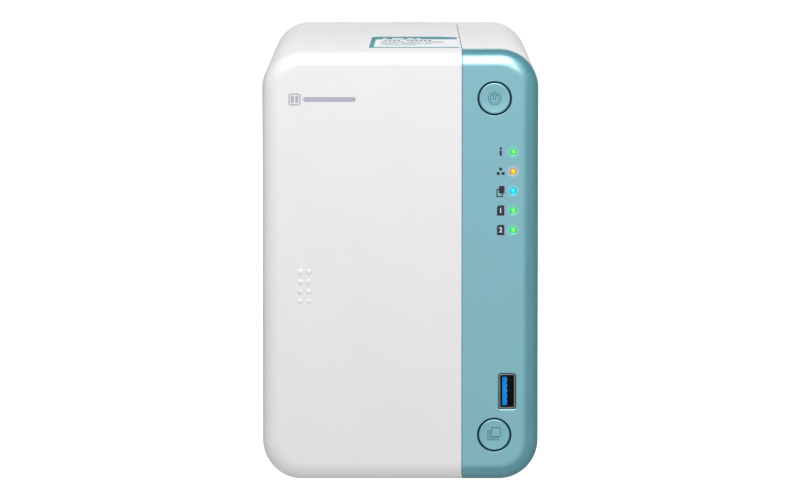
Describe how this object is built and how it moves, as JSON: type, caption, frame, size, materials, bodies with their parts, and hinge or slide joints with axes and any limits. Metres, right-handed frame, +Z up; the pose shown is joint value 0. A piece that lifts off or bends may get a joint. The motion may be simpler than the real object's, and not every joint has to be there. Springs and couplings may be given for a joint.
{
  "type": "network attached storage",
  "caption": "Upright desktop storage box with a lift-off white front cover over slide-out drive trays and a coloured side strip of buttons, lights and a port.",
  "frame": {"origin": "on the table, under the middle of the bounding box", "axes": "+X to the right of the front, +Y from the front to the back, +Z up"},
  "size_m": [0.105, 0.225, 0.168],
  "materials": {
    "white_shell": "satin moulded",
    "teal_bezel": "satin, faint metallic fleck",
    "grey_frame": "fine texture",
    "dark_plastic": "fine texture",
    "sheet_steel": "zinc plated",
    "cast_aluminium": "cast",
    "bright_metal": "nickel plated",
    "board_green": "solder mask",
    "usb_blue": "moulded",
    "led_green": "lit",
    "led_amber": "lit",
    "led_blue": "lit",
    "foot_rubber": "matte"
  },
  "bodies": {
    "case": {"left_shell": "white_shell", "right_shell": "white_shell", "front_bezel": "teal_bezel", "front_frame": "grey_frame", "fan_frame": "dark_plastic", "power_switch": "dark_plastic", "copy_switch": "dark_plastic", "drive_socket_1": "dark_plastic", "drive_socket_2": "dark_plastic", "memory_socket": "dark_plastic", "power_inlet": "dark_plastic", "audio_jack": "dark_plastic", "reset_switch": "dark_plastic", "base_plate": "sheet_steel", "drive_cage": "sheet_steel", "rear_panel": "sheet_steel", "expansion_slot_cover": "sheet_steel", "heatsink": "cast_aluminium", "front_usb_shell": "bright_metal", "rear_usb_1_shell": "bright_metal", "rear_usb_2_shell": "bright_metal", "lan_port": "bright_metal", "display_port": "bright_metal", "coin_cell": "bright_metal", "case_screw_1": "bright_metal", "case_screw_2": "bright_metal", "case_screw_3": "bright_metal", "front_board": "board_green", "main_board": "board_green", "memory_module": "board_green", "backplane": "board_green", "front_usb_insert": "usb_blue", "rear_usb_1_insert": "usb_blue", "rear_usb_2_insert": "usb_blue", "status_light": "led_green", "drive_1_light": "led_green", "drive_2_light": "led_green", "network_light": "led_amber", "usb_copy_light": "led_blue", "foot_front_left": "foot_rubber", "foot_front_right": "foot_rubber", "foot_rear_left": "foot_rubber", "foot_rear_right": "foot_rubber"},
    "front_cover": {"front_cover": "white_shell"},
    "power_button": {"power_button": "teal_bezel"},
    "copy_button": {"copy_button": "teal_bezel"},
    "reset_button": {"reset_button": "bright_metal"},
    "tray_1": {"tray_1": "dark_plastic", "drive_1_base": "cast_aluminium", "drive_1_lid": "sheet_steel", "drive_1_board": "board_green"},
    "tray_2": {"tray_2": "dark_plastic", "drive_2_base": "cast_aluminium", "drive_2_lid": "sheet_steel", "drive_2_board": "board_green"},
    "tray_1_handle": {"tray_1_handle": "grey_frame"},
    "tray_2_handle": {"tray_2_handle": "grey_frame"},
    "tray_1_catch": {"tray_1_catch": "teal_bezel"},
    "tray_2_catch": {"tray_2_catch": "teal_bezel"},
    "fan_rotor": {"fan_rotor": "dark_plastic"}
  },
  "joints": [
    {"name": "front_cover_lift_off", "type": "slide", "parent": "case", "child": "front_cover", "axis": [0, -1, 0], "range_m": [0, 0.3]},
    {"name": "power_button_press", "type": "slide", "parent": "case", "child": "power_button", "axis": [0, 1, 0], "range_m": [0, 0.0008], "stiffness_N_per_m": 900, "springref_m": -0.0004},
    {"name": "copy_button_press", "type": "slide", "parent": "case", "child": "copy_button", "axis": [0, 1, 0], "range_m": [0, 0.0008], "stiffness_N_per_m": 900, "springref_m": -0.0004},
    {"name": "reset_button_press", "type": "slide", "parent": "case", "child": "reset_button", "axis": [0, -1, 0], "range_m": [0, 0.0006], "stiffness_N_per_m": 900, "springref_m": -0.0004},
    {"name": "fan_spin", "type": "hinge", "parent": "case", "child": "fan_rotor", "pos_m": [-0.0133, 0.1, 0.072], "axis": [0, 1, 0], "continuous": true},
    {"name": "tray_1_slide", "type": "slide", "parent": "case", "child": "tray_1", "axis": [0, -1, 0], "range_m": [0, 0.15]},
    {"name": "tray_1_handle_swing", "type": "hinge", "parent": "tray_1", "child": "tray_1_handle", "pos_m": [-0.0313, -0.1052, 0.027], "axis": [1, 0, 0], "range_deg": [0, 60.01]},
    {"name": "tray_1_catch_press", "type": "slide", "parent": "tray_1_handle", "child": "tray_1_catch", "axis": [0, 1, 0], "range_m": [0, 0.001], "stiffness_N_per_m": 500, "springref_m": -0.0005},
    {"name": "tray_2_slide", "type": "slide", "parent": "case", "child": "tray_2", "axis": [0, -1, 0], "range_m": [0, 0.15]},
    {"name": "tray_2_handle_swing", "type": "hinge", "parent": "tray_2", "child": "tray_2_handle", "pos_m": [0.0047, -0.1052, 0.027], "axis": [1, 0, 0], "range_deg": [0, 60.01]},
    {"name": "tray_2_catch_press", "type": "slide", "parent": "tray_2_handle", "child": "tray_2_catch", "axis": [0, 1, 0], "range_m": [0, 0.001], "stiffness_N_per_m": 500, "springref_m": -0.0005}
  ],
  "couplings": [
    {"joint": "tray_1_slide", "follows": "front_cover_lift_off", "ratio": 0.5},
    {"joint": "tray_1_handle_swing", "follows": "front_cover_lift_off", "rad_per_m": 3.4907},
    {"joint": "tray_2_slide", "follows": "front_cover_lift_off", "ratio": 0.5},
    {"joint": "tray_2_handle_swing", "follows": "front_cover_lift_off", "rad_per_m": 3.4907}
  ]
}
